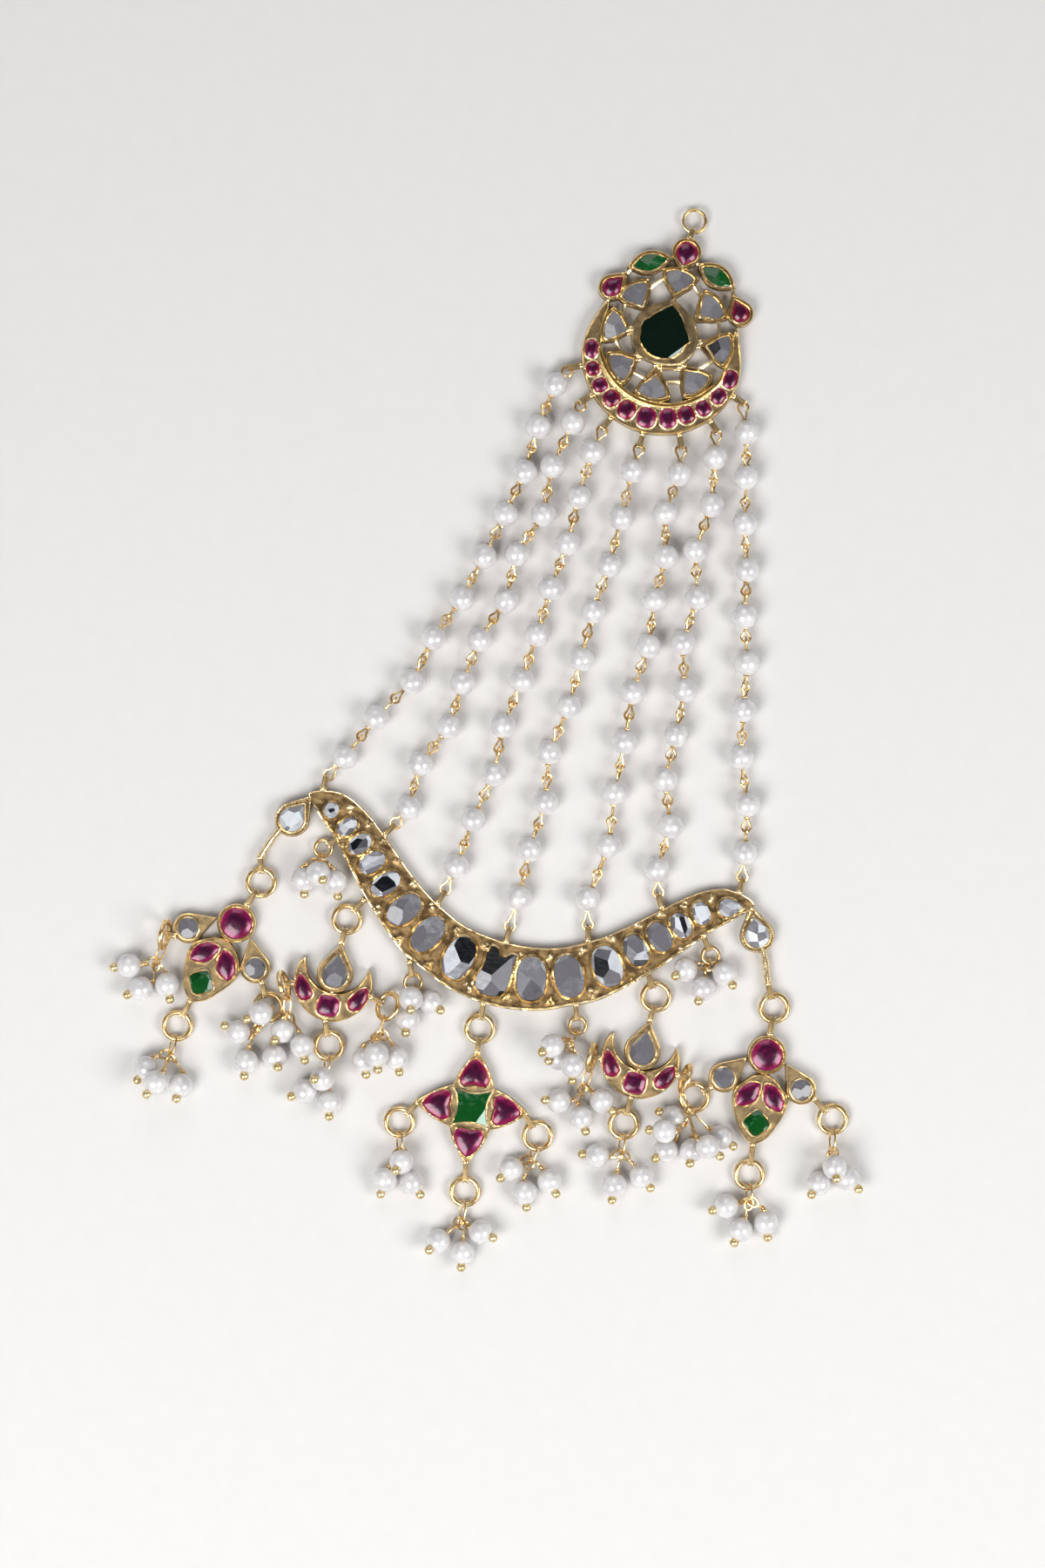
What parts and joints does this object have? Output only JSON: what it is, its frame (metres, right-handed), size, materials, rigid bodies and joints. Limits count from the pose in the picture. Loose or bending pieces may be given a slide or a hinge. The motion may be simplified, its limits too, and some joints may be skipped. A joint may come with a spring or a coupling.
{
  "type": "jhoomar",
  "caption": "Side-head ornament: a round openwork medallion with a ring on top, strings of pearls down to a curved stone-set bar, and drops with pearl bunches below.",
  "frame": {"origin": "on the flat back of the medallion, under the middle of its centre stone", "axes": "+Y towards the hanging ring on top, +Z out of the front, +X to the right seen from the front; the object lies on its back on Z = 0"},
  "size_m": [0.1223, 0.1712, 0.0071],
  "materials": {
    "gilt_brass": "pale gold plate, grainy as cast, with polished rims",
    "gilt_wire": "polished pale gold wire",
    "pearl": "pearl lustre, white with a lavender-grey cast",
    "foil_glass": "faceted, silver-grey over foil",
    "green_glass": "faceted, deep green"
  },
  "bodies": {
    "root": {"medallion": "gilt_brass", "crescent_bar": "gilt_brass", "left_end_drop": "gilt_brass", "left_moon_drop": "gilt_brass", "flower_drop": "gilt_brass", "right_moon_drop": "gilt_brass", "right_end_drop": "gilt_brass", "hanging_ring": "gilt_wire", "left_end_ring": "gilt_wire", "left_moon_ring": "gilt_wire", "flower_ring": "gilt_wire", "right_moon_ring": "gilt_wire", "right_end_ring": "gilt_wire", "pearl_strand_1": "pearl", "pearl_strand_2": "pearl", "pearl_strand_3": "pearl", "pearl_strand_4": "pearl", "pearl_strand_5": "pearl", "pearl_strand_6": "pearl", "pearl_strand_7": "pearl", "left_end_tassel_outer": "pearl", "left_end_tassel_tip": "pearl", "left_end_tassel_inner": "pearl", "left_moon_tassel_outer": "pearl", "left_moon_tassel_tip": "pearl", "left_moon_tassel_inner": "pearl", "flower_tassel_left": "pearl", "flower_tassel_tip": "pearl", "flower_tassel_right": "pearl", "right_moon_tassel_inner": "pearl", "right_moon_tassel_tip": "pearl", "right_moon_tassel_outer": "pearl", "right_end_tassel_inner": "pearl", "right_end_tassel_tip": "pearl", "right_end_tassel_outer": "pearl", "bar_tassel_1": "pearl", "bar_tassel_2": "pearl", "bar_tassel_3": "pearl", "bar_tassel_4": "pearl", "bar_stone_01": "foil_glass", "bar_stone_02": "foil_glass", "bar_stone_03": "foil_glass", "bar_stone_04": "foil_glass", "bar_stone_05": "foil_glass", "bar_stone_06": "foil_glass", "bar_stone_07": "foil_glass", "bar_stone_08": "foil_glass", "bar_stone_09": "foil_glass", "bar_stone_10": "foil_glass", "bar_stone_11": "foil_glass", "bar_stone_12": "foil_glass", "bar_stone_13": "foil_glass", "bar_stone_14": "foil_glass", "bar_stone_15": "foil_glass", "bar_stone_16": "foil_glass", "bar_stone_17": "foil_glass", "end_stone_left": "foil_glass", "end_stone_right": "foil_glass", "centre_emerald": "green_glass", "flower_emerald": "green_glass"}
  },
  "joints": []
}
